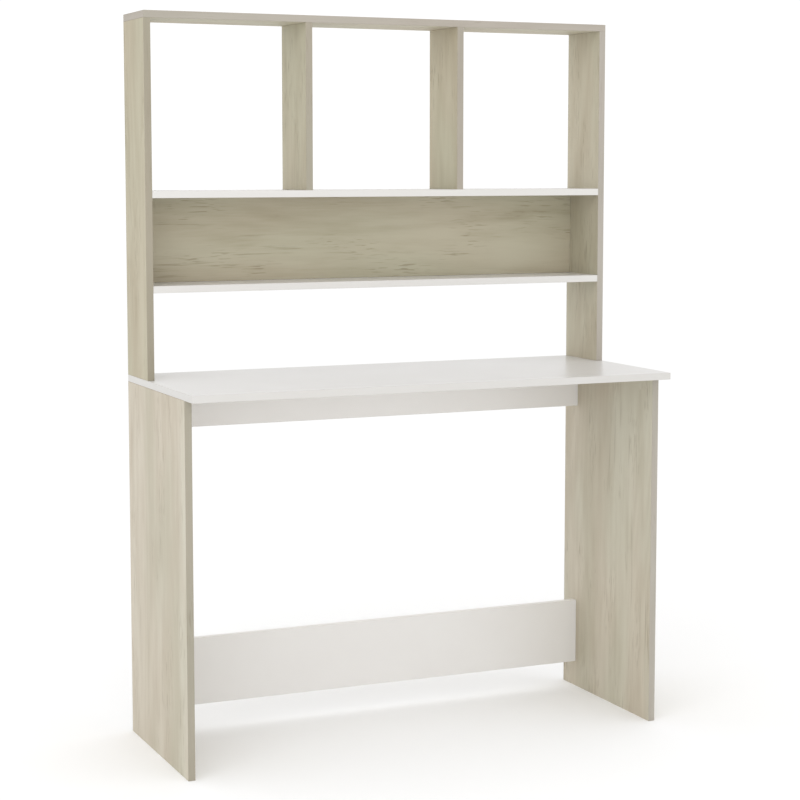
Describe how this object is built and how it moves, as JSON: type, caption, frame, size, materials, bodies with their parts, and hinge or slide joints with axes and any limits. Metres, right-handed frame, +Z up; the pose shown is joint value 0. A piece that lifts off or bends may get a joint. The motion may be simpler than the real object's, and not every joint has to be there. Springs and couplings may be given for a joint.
{
  "type": "desk with hutch",
  "caption": "Writing desk with panel legs, apron and modesty panel, and a full-width open hutch of three upper bays, a closed-back shelf bay and an open bay above the desktop.",
  "frame": {"origin": "middle of the footprint, on the floor", "axes": "+X to the user's right, +Y to the wall behind the desk, +Z up; the user sits on the -Y side"},
  "size_m": [1.1, 0.45, 1.57],
  "materials": {
    "oak_board": "matt melamine with a pale grey-brown oak grain",
    "white_board": "smooth white melamine with a soft sheen",
    "beech": "plain beech",
    "zinc_cam": "die-cast zinc, satin",
    "plated_steel": "bright zinc plating"
  },
  "bodies": {
    "root": {"apron_rail": "white_board", "cam_bolt_apron_left": "plated_steel", "cam_bolt_apron_right": "plated_steel", "cam_bolt_desktop_left_front": "plated_steel", "cam_bolt_desktop_left_rear": "plated_steel", "cam_bolt_desktop_right_front": "plated_steel", "cam_bolt_desktop_right_rear": "plated_steel", "cam_bolt_modesty_left": "plated_steel", "cam_bolt_modesty_right": "plated_steel", "cam_bolt_shelf_lower_left": "plated_steel", "cam_bolt_shelf_lower_right": "plated_steel", "cam_bolt_shelf_upper_left": "plated_steel", "cam_bolt_shelf_upper_right": "plated_steel", "cam_disc_apron_left": "zinc_cam", "cam_disc_apron_right": "zinc_cam", "cam_disc_desktop_left_front": "zinc_cam", "cam_disc_desktop_left_rear": "zinc_cam", "cam_disc_desktop_right_front": "zinc_cam", "cam_disc_desktop_right_rear": "zinc_cam", "cam_disc_modesty_left": "zinc_cam", "cam_disc_modesty_right": "zinc_cam", "cam_disc_shelf_lower_left": "zinc_cam", "cam_disc_shelf_lower_right": "zinc_cam", "cam_disc_shelf_upper_left": "zinc_cam", "cam_disc_shelf_upper_right": "zinc_cam", "desk_side_left": "oak_board", "desk_side_right": "oak_board", "desktop": "white_board", "divider_left": "oak_board", "divider_right": "oak_board", "dowel_apron_left": "beech", "dowel_apron_right": "beech", "dowel_modesty_left": "beech", "dowel_modesty_right": "beech", "dowel_shelf_lower_left": "beech", "dowel_shelf_lower_right": "beech", "dowel_shelf_upper_left": "beech", "dowel_shelf_upper_right": "beech", "hutch_back_panel": "oak_board", "hutch_side_left": "oak_board", "hutch_side_right": "oak_board", "hutch_top": "oak_board", "modesty_panel": "white_board", "screw_back_panel_left": "plated_steel", "screw_back_panel_right": "plated_steel", "screw_divider_foot_left": "plated_steel", "screw_divider_foot_right": "plated_steel", "screw_divider_top_left": "plated_steel", "screw_divider_top_right": "plated_steel", "screw_hutch_foot_left_front": "plated_steel", "screw_hutch_foot_left_rear": "plated_steel", "screw_hutch_foot_right_front": "plated_steel", "screw_hutch_foot_right_rear": "plated_steel", "screw_hutch_top_left_front": "plated_steel", "screw_hutch_top_left_rear": "plated_steel", "screw_hutch_top_right_front": "plated_steel", "screw_hutch_top_right_rear": "plated_steel", "shelf_lower": "white_board", "shelf_upper": "white_board"}
  },
  "joints": []
}
